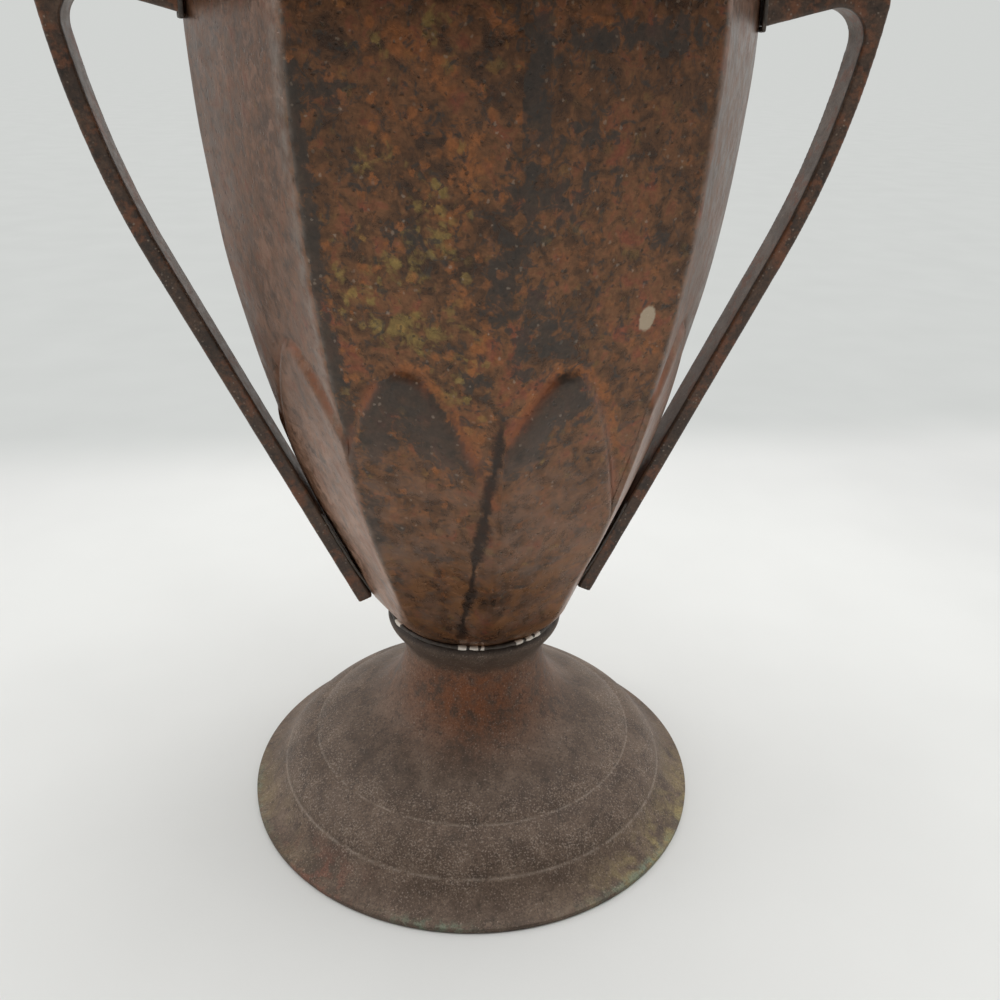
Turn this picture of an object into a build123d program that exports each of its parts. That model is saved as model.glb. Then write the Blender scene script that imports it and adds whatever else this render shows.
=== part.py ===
from build123d import *
import math
import os

os.makedirs("parts", exist_ok=True)

# A two-handled copper urn vase on a stepped round foot. Millimetres, +Z up.
# The origin is the centre of the foot's resting face. The handles lie along X.

# Sheet and clearances
sheet = 1.1
seat_gap = 0.25
solder_gap = 0.15
overrun = 6.0

# Foot, a little wider than the belly, up to the lip of the cup that holds the body
foot_overhang = 0.5
foot_edge_height = 1.6
foot_hem_width = 4.0
lower_ring_share = 0.86
lower_ring_height = 10.0
upper_ring_share = 0.71
upper_ring_height = 19.4
tier_bulge = 1.5
bell_radius = 24.0
bell_angle = 67.0
stem_radius = 21.4
stem_height = 49.5
cup_run = 4.3
cup_rise = 12.2

# Panelled body: its base above the stem, its belly above the lip, its shoulder above the belly
panel_count = 8
base_rise = 5.7
base_edge_fillet = 1.5
belly_radius = 69.5
belly_rise = 160.3
shoulder_rise = 54.0
petal_relief = 1.1
petal_foot_relief = 0.5
petal_side_share = 0.395
petal_tip_share = 0.557

# Neck and mouth, a round piece let into the top of the body, with heights above the shoulder
neck_joint_radius = 41.6
neck_tail = 7.0
bead_radius = 2.1
waist_inset = 4.4
waist_rise = 21.0
mouth_flare = 10.4
mouth_rise = 55.0
rim_wire_radius = 1.5
rim_wire_gap = 0.12
rim_curl_angle = 245.0

# Handles: a bar that leans out from the foot of the body, and an arm back to the belly
handle_depth = 10.0
handle_edge_fillet = 0.7
bar_thickness = 4.3
bar_end_offset = 6.1
bar_end_rise = 5.3
bar_bend_offset = 13.5
bar_bend_share = 0.659
bar_reach_offset = 32.9
arm_top_rise = 17.0
arm_root_rise = 2.2
arm_under_share = 0.9
arm_inner_fillet = 7.0
arm_outer_fillet = 9.0

# Solder: legs of the fillets at the cup, at the neck and round the ends of the handles
cup_solder_leg = 1.6
neck_solder_leg = 1.8
arm_solder_leg = 1.2
bar_solder_leg = 1.0
bar_solder_length = 30.0

# Height share, radius share and corner share of each section of the lower body,
# from the lip of the cup up to the belly
lower_section_shares = [
    (0.030, 0.100, 0.45),
    (0.116, 0.269, 0.28),
    (0.226, 0.442, 0.22),
    (0.357, 0.612, 0.20),
    (0.510, 0.769, 0.20),
    (0.685, 0.900, 0.20),
    (0.882, 0.980, 0.20),
    (1.000, 1.000, 0.20),
]
# The same shares from the belly up to the joint with the neck
upper_section_shares = [
    (0.333, 0.945, 0.22),
    (0.611, 0.735, 0.28),
    (0.815, 0.420, 0.40),
    (0.944, 0.120, 0.65),
    (1.000, 0.000, 0.85),
]
round_corner_share = 0.85
petal_section_count = 6
petal_rise_sections = 2

half_panel = math.pi / panel_count
foot_radius = belly_radius + foot_overhang
lip_radius = stem_radius + cup_run
lip_height = stem_height + cup_rise
cup_radius = (cup_run**2 + cup_rise**2) / (2 * cup_run)
base_height = stem_height + base_rise
belly_height = lip_height + belly_rise
shoulder_height = belly_height + shoulder_rise


def cup_bore(height):
    """Inner radius of the foot's cup at a height."""
    return stem_radius + cup_radius - math.sqrt((cup_radius + sheet) ** 2 - (height - stem_height) ** 2)


# Height, ridge radius and corner share of the sections that stand in the cup
cup_sections = []
for height in (base_height, (base_height + lip_height) / 2, lip_height):
    cup_sections.append((height, cup_bore(height) - seat_gap, round_corner_share))
lip_fit_radius = cup_bore(lip_height) - seat_gap

# The same of the sections from the lip to the belly, and from there to the neck
lower_sections = []
for height_share, radius_share, corner_share in lower_section_shares:
    height = lip_height + height_share * belly_rise
    radius = lip_fit_radius + radius_share * (belly_radius - lip_fit_radius)
    lower_sections.append((height, radius, corner_share))
upper_sections = []
for height_share, radius_share, corner_share in upper_section_shares:
    height = belly_height + height_share * shoulder_rise
    radius = neck_joint_radius + radius_share * (belly_radius - neck_joint_radius)
    upper_sections.append((height, radius, corner_share))
body_sections = cup_sections + lower_sections + upper_sections

# The petals' surface: the same panels, standing out by the relief
petal_sections = []
for number, (height, radius, corner_share) in enumerate(lower_sections[:petal_section_count]):
    rise_share = min(1, number / petal_rise_sections)
    rise = petal_foot_relief + rise_share * (petal_relief - petal_foot_relief)
    petal_sections.append((height, radius + rise, corner_share))


def panelled(sections, inset):
    """A solid through rounded polygons, with its ridges at the sections' radii less the inset."""
    with BuildPart() as form:
        for height, ridge_radius, corner_share in sections:
            rounding = corner_share * (1 / math.cos(half_panel) - 1)
            polygon_radius = (ridge_radius - inset) / (1 - rounding)
            with BuildSketch(Plane.XY.offset(height)):
                RegularPolygon(polygon_radius, panel_count)
                fillet(vertices(), corner_share * polygon_radius)
        loft()
    return form.part


def ridge_radius_at(height):
    """Radius of the body's ridges at a height between two sections."""
    for lower, upper in zip(body_sections, body_sections[1:]):
        if lower[0] <= height <= upper[0]:
            share = (height - lower[0]) / (upper[0] - lower[0])
            return lower[1] + share * (upper[1] - lower[1])
    return belly_radius


# Body: a raised vessel of eight panels, with a petal on the foot of each panel
petal_side_height = lip_height + petal_side_share * belly_rise
petal_tip_height = lip_height + petal_tip_share * belly_rise
petal_half_width = ridge_radius_at(petal_side_height) * math.sin(half_panel)
petal_arch_height = 2 * petal_tip_height - petal_side_height
petal_foot_height = petal_sections[0][0]

with BuildPart() as petal_arches:
    for number in range(panel_count):
        angle = (2 * number + 1) * half_panel
        outwards = (math.cos(angle), math.sin(angle), 0)
        across = (-math.sin(angle), math.cos(angle), 0)
        with BuildSketch(Plane(origin=(0, 0, 0), x_dir=across, z_dir=outwards)):
            with BuildLine():
                Bezier(
                    (petal_half_width, petal_side_height),
                    (0, petal_arch_height),
                    (-petal_half_width, petal_side_height),
                )
                Polyline(
                    (-petal_half_width, petal_side_height),
                    (-petal_half_width, petal_foot_height),
                    (petal_half_width, petal_foot_height),
                    (petal_half_width, petal_side_height),
                )
            make_face()
        extrude(amount=belly_radius)

cavity_sections = [(base_height + sheet, cup_bore(base_height) - seat_gap, round_corner_share)]
cavity_sections += body_sections[1:]

with BuildPart() as body:
    add(panelled(petal_sections, 0))
    add(petal_arches.part, mode=Mode.INTERSECT)
    add(panelled(body_sections, 0))
    fillet(edges().group_by(Axis.Z)[0], base_edge_fillet)
    add(panelled(cavity_sections, sheet), mode=Mode.SUBTRACT)
body.part.label = "body"
export_step(body.part, "parts/body.step")

# Foot: one spun shell with a hem at its edge, two tiers, a bell, a stem and the cup
lower_ring = (lower_ring_share * foot_radius, lower_ring_height)
upper_ring = (upper_ring_share * foot_radius, upper_ring_height)

with BuildPart() as foot:
    with BuildSketch(Plane.XZ):
        with BuildLine():
            hem = Line((foot_radius - foot_hem_width, 0), (foot_radius, 0))
            edge = Line(hem @ 1, (foot_radius, foot_edge_height))
            lower_tier = SagittaArc(edge @ 1, lower_ring, tier_bulge)
            upper_tier = SagittaArc(lower_tier @ 1, upper_ring, tier_bulge)
            hollow = JernArc((stem_radius, stem_height), (0, -1), bell_radius, bell_angle)
            TangentArc(hollow @ 1, upper_tier @ 1, tangent=hollow % 1)
            TangentArc(hollow @ 0, (lip_radius, lip_height), tangent=(0, 1))
            offset(amount=sheet, side=Side.LEFT)
        make_face()
    revolve(axis=Axis.Z)
foot.part.label = "foot"
export_step(foot.part, "parts/foot.step")

# Cup solder: a ring in the crease between the end face of the cup's lip and the body
lip_tilt = math.asin(cup_rise / cup_radius)
crease_radius = lip_radius - sheet * math.cos(lip_tilt)
crease_height = lip_height + sheet * math.sin(lip_tilt)
outer_face_height = lip_height + solder_gap
fitting_body = panelled(body_sections, -solder_gap)

with BuildPart() as cup_solder:
    with BuildSketch(Plane.XZ):
        with BuildLine():
            Polyline(
                (crease_radius, crease_height + solder_gap),
                (lip_radius, outer_face_height),
                (lip_radius, crease_height + cup_solder_leg),
                (crease_radius, crease_height + cup_solder_leg),
                close=True,
            )
        make_face()
    revolve(axis=Axis.Z)
    add(fitting_body, mode=Mode.SUBTRACT)
cup_solder.part.label = "cup_solder"
export_step(cup_solder.part, "parts/cup_solder.step")

# Neck: a tail inside the body, a bead on its top edge, a waist and a curled mouth
tail_radius = neck_joint_radius - sheet - seat_gap
bead_height = shoulder_height + seat_gap
curl_radius = rim_wire_radius + rim_wire_gap
neck_waist = (neck_joint_radius - waist_inset, shoulder_height + waist_rise)
mouth = (neck_joint_radius + mouth_flare, shoulder_height + mouth_rise)

with BuildPart() as neck:
    with BuildSketch(Plane.XZ):
        with BuildLine():
            tail = Line((tail_radius, shoulder_height - neck_tail), (tail_radius, bead_height))
            bead = SagittaArc(tail @ 1, (tail_radius, bead_height + 2 * bead_radius), -bead_radius)
            waist = TangentArc(neck_waist, bead @ 1, tangent=(0, -1))
            flare = TangentArc(neck_waist, mouth, tangent=(0, 1))
            curl = JernArc(mouth, flare % 1, curl_radius, -rim_curl_angle)
            offset(amount=sheet, side=Side.LEFT)
        make_face()
    revolve(axis=Axis.Z)
neck.part.label = "neck"
export_step(neck.part, "parts/neck.step")

# Neck solder: a ring in the crease between the bead and the shoulder of the body
solder_inner_radius = neck_joint_radius - sheet / 2

with BuildPart() as neck_solder:
    with BuildSketch(Plane.XZ):
        with BuildLine():
            Polyline(
                (solder_inner_radius, shoulder_height + bead_radius),
                (neck_joint_radius, shoulder_height + bead_radius),
                (neck_joint_radius + neck_solder_leg, shoulder_height),
                (neck_joint_radius + neck_solder_leg, shoulder_height - neck_solder_leg),
                (solder_inner_radius, shoulder_height - neck_solder_leg),
                close=True,
            )
        make_face()
        with Locations((tail_radius, bead_height + bead_radius)):
            Circle(bead_radius + solder_gap, mode=Mode.SUBTRACT)
    revolve(axis=Axis.Z)
    add(fitting_body, mode=Mode.SUBTRACT)
neck_solder.part.label = "neck_solder"
export_step(neck_solder.part, "parts/neck_solder.step")

# Rim wire: a ring that stiffens the mouth, held in the curl
flare_direction = flare % 1
curl_centre = Vector(mouth) + Vector(flare_direction.Y, -flare_direction.X) * curl_radius

with BuildPart() as rim_wire:
    with BuildSketch(Plane.XZ):
        with Locations(curl_centre):
            Circle(rim_wire_radius)
    revolve(axis=Axis.Z)
rim_wire.part.label = "rim_wire"
export_step(rim_wire.part, "parts/rim_wire.step")

# Handles: flat castings, each fitted to the ridge of the body that carries it
fitting_petals = panelled(petal_sections, -solder_gap)
bar_end_height = lip_height + bar_end_rise
bar_end = (ridge_radius_at(bar_end_height) + bar_end_offset, bar_end_height)
bar_bend = (belly_radius + bar_bend_offset, lip_height + bar_bend_share * belly_rise)
arm_top_height = belly_height + arm_top_rise
arm_root_height = belly_height + arm_root_rise
bar_top = (belly_radius + bar_reach_offset, arm_top_height)
arm_root = (belly_radius, arm_root_height)

with BuildPart() as handle_right:
    with BuildSketch(Plane.XZ):
        with BuildLine():
            lean = Line(bar_end, bar_bend)
            bend = TangentArc(lean @ 1, bar_top, tangent=lean % 1)
            offset(amount=bar_thickness, side=Side.LEFT)
        make_face()
        inwards = (bend % arm_under_share).rotate(Axis.Z, 90) * bar_thickness
        under_end = bend @ arm_under_share + inwards / 2
        under_run = under_end - Vector(arm_root)
        under_start = Vector(arm_root) - under_run * overrun / under_run.X
        with BuildLine():
            Polyline(
                (under_start.X, arm_top_height),
                under_start,
                under_end,
                (under_end.X, arm_top_height),
                close=True,
            )
        make_face()
        with Locations(bar_end):
            Rectangle(belly_radius, overrun, align=(Align.CENTER, Align.MAX), mode=Mode.SUBTRACT)
        with Locations(bar_top):
            Rectangle(belly_radius, overrun, align=(Align.CENTER, Align.MIN), mode=Mode.SUBTRACT)
        inner_corner = bend @ arm_under_share + inwards
        fillet(vertices().sort_by_distance(inner_corner)[0], arm_inner_fillet)
        fillet(vertices().sort_by_distance(Vector(bar_top))[0], arm_outer_fillet)
    extrude(amount=handle_depth / 2, both=True)
    outline_edges = edges().group_by(Axis.Y)[0] + edges().group_by(Axis.Y)[-1]
    fillet(outline_edges, handle_edge_fillet)
    add(fitting_body, mode=Mode.SUBTRACT)
    add(fitting_petals, mode=Mode.SUBTRACT)
handle_right.part.label = "handle_right"
export_step(handle_right.part, "parts/handle_right.step")

with BuildPart() as handle_left:
    mirror(handle_right.part, about=Plane.YZ)
handle_left.part.label = "handle_left"
export_step(handle_left.part, "parts/handle_left.step")

# Arm solder: a collar on the body round the root of each arm
collar_depth = handle_depth + 2 * arm_solder_leg
collar_foot = arm_root_height - arm_solder_leg
collar_height = arm_top_height + arm_solder_leg - collar_foot

with BuildPart() as arm_solder_right:
    with Locations((belly_radius, 0, collar_foot)):
        Box(2 * overrun, collar_depth, collar_height, align=(Align.CENTER, Align.CENTER, Align.MIN))
    add(panelled(body_sections, -arm_solder_leg), mode=Mode.INTERSECT)
    add(fitting_body, mode=Mode.SUBTRACT)
    add(handle_right.part, mode=Mode.SUBTRACT)
arm_solder_right.part.label = "arm_solder_right"
export_step(arm_solder_right.part, "parts/arm_solder_right.step")

with BuildPart() as arm_solder_left:
    mirror(arm_solder_right.part, about=Plane.YZ)
arm_solder_left.part.label = "arm_solder_left"
export_step(arm_solder_left.part, "parts/arm_solder_left.step")

# Bar solder: a seam along both sides of each bar and under its lower end
seam_depth = handle_depth + 2 * bar_solder_leg
seam_foot = bar_end_height - bar_solder_leg
seam_top = bar_end_height + bar_solder_length

with BuildPart() as bar_solder_right:
    with Locations((0, 0, seam_foot)):
        Box(belly_radius, seam_depth, seam_top - seam_foot, align=(Align.MIN, Align.CENTER, Align.MIN))
    add(panelled(petal_sections, -bar_solder_leg), mode=Mode.INTERSECT)
    add(fitting_petals, mode=Mode.SUBTRACT)
    add(handle_right.part, mode=Mode.SUBTRACT)
bar_solder_right.part.label = "bar_solder_right"
export_step(bar_solder_right.part, "parts/bar_solder_right.step")

with BuildPart() as bar_solder_left:
    mirror(bar_solder_right.part, about=Plane.YZ)
bar_solder_left.part.label = "bar_solder_left"
export_step(bar_solder_left.part, "parts/bar_solder_left.step")
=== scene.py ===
import math
from types import SimpleNamespace

import bpy
import numpy as np
from mathutils import Matrix, Vector, noise


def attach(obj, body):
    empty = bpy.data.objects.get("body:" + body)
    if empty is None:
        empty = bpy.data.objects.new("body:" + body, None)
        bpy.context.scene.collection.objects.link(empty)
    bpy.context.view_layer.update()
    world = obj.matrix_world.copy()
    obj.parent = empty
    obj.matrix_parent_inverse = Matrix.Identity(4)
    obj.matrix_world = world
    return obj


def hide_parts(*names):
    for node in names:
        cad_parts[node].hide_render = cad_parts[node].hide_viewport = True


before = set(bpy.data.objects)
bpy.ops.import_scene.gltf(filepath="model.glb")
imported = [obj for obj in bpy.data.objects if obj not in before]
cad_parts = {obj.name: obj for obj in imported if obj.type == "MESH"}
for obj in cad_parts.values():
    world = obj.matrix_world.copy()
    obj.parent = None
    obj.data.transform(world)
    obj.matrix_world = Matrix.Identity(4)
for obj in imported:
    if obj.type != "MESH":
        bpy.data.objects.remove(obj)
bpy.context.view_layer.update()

# Lengths are in millimetres up to the point where a mesh is made
MM = 0.001

# The same sizes as in the part's source
SHEET = 1.1
STEM_RADIUS, STEM_HEIGHT = 21.4, 49.5
LIP_RADIUS, LIP_HEIGHT = 25.7, 61.7
BASE_HEIGHT = 55.2
BELLY_RADIUS, BELLY_HEIGHT = 69.5, 222.0
SHOULDER_HEIGHT = 276.0
JOINT_RADIUS = 41.6
SEAT_GAP = 0.25
PANELS = 8
# The ridges as they stand in the photograph: the handles' panels are a little wider than the others
RIDGES = np.radians([0, 52, 90, 129.5, 180, 230.5, 270, 308, 360])
LEFT_RIDGE, FRONT_RIDGE = 5, 6
PETAL_RELIEF, PETAL_FOOT_RELIEF = 1.1, 0.5
# Panel: how far its petal's tip stands to the right of its middle, the tip's height and the fall of the arch
PETALS = {
    0: (-5.0, 153, 0.32), 1: (-9.0, 157, 0.17), 2: (0.0, 152, 0.17), 3: (1.0, 152, 0.31),
    4: (-1.0, 152, 0.31), 5: (0.0, 152, 0.17), 6: (6.0, 153, 0.17), 7: (-3.5, 153, 0.306),
}
PETAL_POWER, PETAL_TIP_ROUND = 1.63, 1.5
# The side panels, which the material paints paler as a painted reflection
SIDE_PANELS = (1, 2, 5, 6)
# Sections of the body below and above the belly: share of the rise, share of the swell, corner rounding
SEAT_ROUNDING = 0.85
LOWER_SECTIONS = [
    (0.030, 0.100, 0.45), (0.116, 0.269, 0.28), (0.226, 0.442, 0.22), (0.357, 0.612, 0.20),
    (0.510, 0.769, 0.20), (0.685, 0.900, 0.20), (0.882, 0.980, 0.20), (1.000, 1.000, 0.20),
]
UPPER_SECTIONS = [
    (0.333, 0.945, 0.22), (0.611, 0.735, 0.28), (0.815, 0.420, 0.40), (0.944, 0.120, 0.65),
    (1.000, 0.000, 0.85),
]


# Curves and meshes

def smooth_curve(xs, ys):
    """The natural cubic spline through the points, as a function."""
    xs, ys = np.array(xs, float), np.array(ys, float)
    step = np.diff(xs)
    count = len(xs)
    rows, right = np.eye(count), np.zeros(count)
    for i in range(1, count - 1):
        rows[i, i - 1:i + 2] = step[i - 1], 2 * (step[i - 1] + step[i]), step[i]
        right[i] = 6 * ((ys[i + 1] - ys[i]) / step[i] - (ys[i] - ys[i - 1]) / step[i - 1])
    bend = np.linalg.solve(rows, right)

    def value(x):
        i = np.clip(np.searchsorted(xs, x) - 1, 0, count - 2)
        t = x - xs[i]
        slope = (ys[i + 1] - ys[i]) / step[i] - step[i] * (2 * bend[i] + bend[i + 1]) / 6
        return ys[i] + t * slope + t**2 * bend[i] / 2 + t**3 * (bend[i + 1] - bend[i]) / (6 * step[i])

    return value


def arc(start, end, half_turn, count):
    """Points of an arc from start to end. It leaves start half_turn anticlockwise from the chord."""
    start, end = np.array(start, float), np.array(end, float)
    chord = end - start
    share = np.linspace(0, 1, count)
    if abs(half_turn) < 1e-6:
        return start + share[:, None] * chord
    turn = half_turn * (1 - 2 * share)
    steps = np.stack([np.cos(turn), np.sin(turn)], 1)
    steps = (steps[1:] + steps[:-1]) / 2
    path = np.vstack([[0, 0], np.cumsum(steps, 0)])
    path /= path[-1, 0]
    across = np.array([-chord[1], chord[0]])
    return start + path[:, :1] * chord + path[:, 1:] * across


def offset_left(path, amount):
    """The path moved to its left by an amount."""
    run = np.gradient(path, axis=0)
    run /= np.linalg.norm(run, axis=1)[:, None]
    return path + amount * np.stack([-run[:, 1], run[:, 0]], 1)


def add_fields(mesh, fields):
    """Named values at the points of a mesh, which its material reads."""
    for key, values in fields.items():
        values = np.asarray(values, np.float32).ravel()
        mesh.attributes.new(key, "FLOAT", "POINT").data.foreach_set("value", values)


def make_object(name, points, faces, fields=None):
    """A smooth mesh object from points in millimetres, with named values at its points."""
    mesh = bpy.data.meshes.new(name)
    mesh.from_pydata((np.asarray(points) * MM).tolist(), [], faces)
    mesh.validate()
    mesh.polygons.foreach_set("use_smooth", [True] * len(mesh.polygons))
    add_fields(mesh, fields or {})
    obj = bpy.data.objects.new(name, mesh)
    bpy.context.scene.collection.objects.link(obj)
    return obj


def ring_faces(rings, columns, loop, poles):
    """Faces of a stack of rings. loop joins the last ring to the first, poles closes both ends with a fan."""
    faces = []
    for i in range(rings if loop else rings - 1):
        low, high = i * columns, ((i + 1) % rings) * columns
        for j in range(columns):
            k = (j + 1) % columns
            faces.append((low + j, low + k, high + k, high + j))
    if poles:
        first, last = rings * columns, rings * columns + 1
        top = (rings - 1) * columns
        for j in range(columns):
            k = (j + 1) % columns
            faces.append((first, k, j))
            faces.append((last, top + j, top + k))
    return faces


def spun(name, profile, columns, wobble=None, fields=None):
    """A closed profile turned round the axis. wobble moves the points, fields gives values at them."""
    angle = np.arange(columns) * 2 * math.pi / columns
    radius, height = (np.repeat(profile[:, i:i + 1], columns, 1) for i in range(2))
    angles = np.tile(angle, (len(profile), 1))
    if wobble:
        radius, height = wobble(radius, height, angles)
    points = np.stack([radius * np.cos(angles), radius * np.sin(angles), height], 2).reshape(-1, 3)
    values = fields(radius, height, angles) if fields else None
    return make_object(name, points, ring_faces(len(profile), columns, True, False), values)


def step_up(x, low, high):
    """0 below low, 1 above high, smooth between them."""
    t = np.clip((x - low) / (high - low), 0, 1)
    return t * t * (3 - 2 * t)


def step_down(x, low, high):
    """1 below low, 0 above high, smooth between them."""
    return step_up(-x, -high, -low)


def bell(x, width):
    return np.exp(-(x / width) ** 2)


def facing(angle, heading, width):
    """1 where an angle looks towards a heading, falling off over a width. Both are in degrees."""
    gap = np.abs((angle - math.radians(heading) + math.pi) % (2 * math.pi) - math.pi)
    return bell(np.degrees(gap), width)


def waves(angle, height, seed, size, lengths):
    """A slow unevenness of a hand-worked wall, from a few waves that close round the axis."""
    draw = np.random.default_rng(seed)
    total = np.zeros_like(angle)
    for length in lengths:
        turns = draw.integers(2, 9)
        phase, lean, share = draw.uniform(0, 2 * math.pi), draw.uniform(-1, 1), draw.uniform(0.5, 1)
        total += share * np.sin(turns * angle + phase + height / length * 2 * math.pi + lean)
    return size * total / len(lengths)


# Body: the panelled wall, its petals and its hollow

def body_curves():
    """The ridge radius and the corner share of the body as functions of height."""
    cup_run, cup_rise = LIP_RADIUS - STEM_RADIUS, LIP_HEIGHT - STEM_HEIGHT
    cup_radius = (cup_run**2 + cup_rise**2) / (2 * cup_run)
    rows = []
    for z in (BASE_HEIGHT, (BASE_HEIGHT + LIP_HEIGHT) / 2, LIP_HEIGHT):
        bore = STEM_RADIUS + cup_radius - math.sqrt((cup_radius + SHEET) ** 2 - (z - STEM_HEIGHT) ** 2)
        rows.append((z, bore - SEAT_GAP, SEAT_ROUNDING))
    lip_fit = rows[-1][1]
    lower_rise, upper_rise = BELLY_HEIGHT - LIP_HEIGHT, SHOULDER_HEIGHT - BELLY_HEIGHT
    lower_swell, upper_swell = BELLY_RADIUS - lip_fit, BELLY_RADIUS - JOINT_RADIUS
    for share, out, corner in LOWER_SECTIONS:
        rows.append((LIP_HEIGHT + share * lower_rise, lip_fit + out * lower_swell, corner))
    for share, out, corner in UPPER_SECTIONS:
        rows.append((BELLY_HEIGHT + share * upper_rise, JOINT_RADIUS + out * upper_swell, corner))
    heights, radii, corners = zip(*rows)
    return smooth_curve(heights, radii), lambda z: np.interp(z, heights, corners)


def panel_radius(from_ridge, half_panel, ridge_radius, corner):
    """Radius of a rounded polygon at an angle from its nearest ridge, on a panel of a half angle."""
    tip = corner * (1 / np.cos(half_panel) - 1)
    size = ridge_radius / (1 - tip)
    flat = size * np.cos(half_panel)
    rounding = corner * size
    centre = (flat - rounding) / np.cos(half_panel)
    to_middle = half_panel - from_ridge
    tangent = np.arctan2(centre * np.sin(half_panel), flat)
    beside = centre * np.sin(from_ridge)
    on_round = centre * np.cos(from_ridge) + np.sqrt(np.maximum(rounding**2 - beside**2, 0))
    return np.where(to_middle > tangent, on_round, flat / np.cos(to_middle))


def petal_distance(panel, across, height):
    """How far a point of a panel lies inside its petal's arch, in millimetres."""
    middle, tip, fall = (np.array([PETALS[number][i] for number in range(PANELS)])[panel] for i in range(3))
    away = np.sqrt((across - middle) ** 2 + PETAL_TIP_ROUND**2) - PETAL_TIP_ROUND
    slope = PETAL_POWER * fall * away ** (PETAL_POWER - 1)
    return (tip - fall * away**PETAL_POWER - height) / np.sqrt(1 + slope**2)


BODY_COLUMNS = 400
OUTER_STEP, INNER_ROWS = 1.15, 90
PETAL_EDGE, PETAL_DOME, CHASE_DEPTH = 1.9, 0.35, 0.4
# Unevenness of the hand-worked wall: seed, size and wave lengths
BODY_WAVES = (11, 0.28, (61, 43, 87, 35, 29))
# The ridges are crisper than the corner rounding of the sections, and the columns crowd together at them
RIDGE_CRISPNESS, RIDGE_CROWDING = 0.3, 0.6
# How much the ridges are painted paler: partly wear, partly painted highlight
RIDGE_WEAR_AND_HIGHLIGHT = 0.55
# Heights between which the ridges grow crisp and soft again, the petals start and rise, and the low tint fades
CRISP_FROM, CRISP_TO = (66, 84), (250, 268)
PETAL_STARTS, PETAL_RISES = (63.5, 67), (68, 98)
LOW_FADES = (112, 150)
COARSE_PANELS = (3, 5, 7)
# The cream chip: its place across the front right panel and height, and its half width and half height
CHIP_PLACE, CHIP_SIZE = (12.7, 164.5), (2.2, 3.0)
# A distance that means nowhere near
FAR = 50.0

FRONT_RIGHT, FRONT_LEFT = 0, 7
# The stains' places were taken from panels of one width, so they move with the photograph's ridges
STAIN_SHIFT = {FRONT_RIGHT: 4.0, FRONT_LEFT: -3.1}
# Stains of the patina: panel, place across it, height, half width, half height, strength
DARK_STAINS = [
    (0, -24, 214, 3.5, 14, 0.9), (0, 1.4, 221.3, 10, 2.6, 0.9), (0, -10, 220.3, 7, 2.6, 0.8),
    (0, 20, 221.7, 3, 4, 0.8), (0, -16, 191, 7, 7, 0.5), (0, -23.5, 190, 3, 16, 0.7),
    (7, 24, 192, 3, 12, 0.5), (7, 22.9, 173.7, 4, 10, 0.7), (0, -16, 162, 8, 6, 0.7),
    (0, -21, 166, 4, 12, 0.7), (7, -18.9, 200, 2.8, 16, 1.0), (7, -17.9, 179, 2.6, 16, 1.0),
    (7, -16.6, 157, 2.6, 16, 1.0), (7, -15.2, 135, 2.4, 16, 0.9), (7, -12.2, 105, 2.4, 20, 0.8),
    (7, 3, 182.6, 6, 4, 0.4), (7, -12, 210.5, 6, 6, 0.5), (7, 0.3, 100.6, 9, 1.7, 0.7),
    (0, -6.7, 97, 6, 2, 0.6), (7, -10.4, 93, 3, 6, 0.6), (0, 8, 181.7, 5, 3, 0.3),
    (0, -10.5, 204, 5, 3, 0.4), (7, 16.8, 153, 3, 5, 0.5), (7, -2.3, 145.2, 4.2, 3.6, 1.0),
    (7, 3.2, 139.5, 5.5, 5.5, 0.9), (7, -5, 136, 3, 6, 0.6), (7, 8, 133, 4, 4, 0.7),
    (7, 13, 129, 2.4, 2.4, 0.5), (0, -5.7, 146.2, 3.6, 3, 1.0), (0, -10, 142.5, 3, 3.6, 0.8),
    (0, -13.8, 138.5, 2.6, 4, 0.8), (0, -16, 133.5, 3, 4, 0.6),
]
ORANGE_STAINS = [
    (7, 2.8, 219.5, 6, 3, 0.7), (7, 10.3, 212.9, 5, 5, 0.7), (7, 16, 198.8, 5, 8, 0.8),
    (7, 13.8, 189, 6, 8, 0.7), (7, 1, 207, 4, 3, 0.6), (7, 15.6, 137.6, 2.4, 6, 1.0),
    (7, 11, 143.5, 2, 3, 0.8), (7, -7.9, 210.6, 4, 3, 0.4), (0, -10.7, 223.6, 7, 2.2, 0.8),
    (0, -19.6, 224, 5, 2, 0.6), (7, 21.9, 223, 4, 3, 0.7), (7, 4.6, 92.3, 5, 4, 0.8),
    (0, -12.9, 86, 4, 4, 0.7), (0, 12.2, 150.7, 5, 5, 0.6), (0, 8, 156, 6, 5, 0.5),
    (0, 4.1, 136.2, 5, 4, 0.5), (0, -7.5, 180.7, 6, 4, 0.35), (7, 15.4, 171, 2, 3, 0.6),
    (7, 17.1, 160, 2, 3, 0.7), (0, -14, 152, 6, 3.5, 0.5),
]
OLIVE_STAINS = [
    (7, 7.7, 192.8, 4, 5, 0.8), (7, 9.4, 183, 5, 6, 0.9), (7, 0.5, 176, 6, 5, 0.7),
    (7, -8.9, 171, 5, 5, 0.7), (7, 3.9, 163, 8, 5, 0.9), (7, -2.9, 162.7, 6, 4, 0.9),
    (7, 8.7, 223, 4, 3, 0.8), (7, 12.4, 216, 3, 3, 0.7), (7, -0.4, 216, 3, 4, 0.5),
    (7, -4.6, 198, 4, 3, 0.6), (7, 13, 153, 5, 5, 0.6),
]
HIDDEN_PANELS = (2, 3, 4, 5)
HIDDEN_STAINS = 14


def hidden_stains(seed, strength):
    """Stains of the panels that the photograph doesn't show."""
    draw = np.random.default_rng(seed)
    stains = []
    for panel in np.repeat(HIDDEN_PANELS, HIDDEN_STAINS):
        place, middle = draw.uniform(-22, 22), draw.uniform(75, 268)
        half_width, half_height = draw.uniform(2.5, 7), draw.uniform(2.5, 9)
        stains.append((panel, place, middle, half_width, half_height, strength * draw.uniform(0.4, 1)))
    return stains


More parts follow.
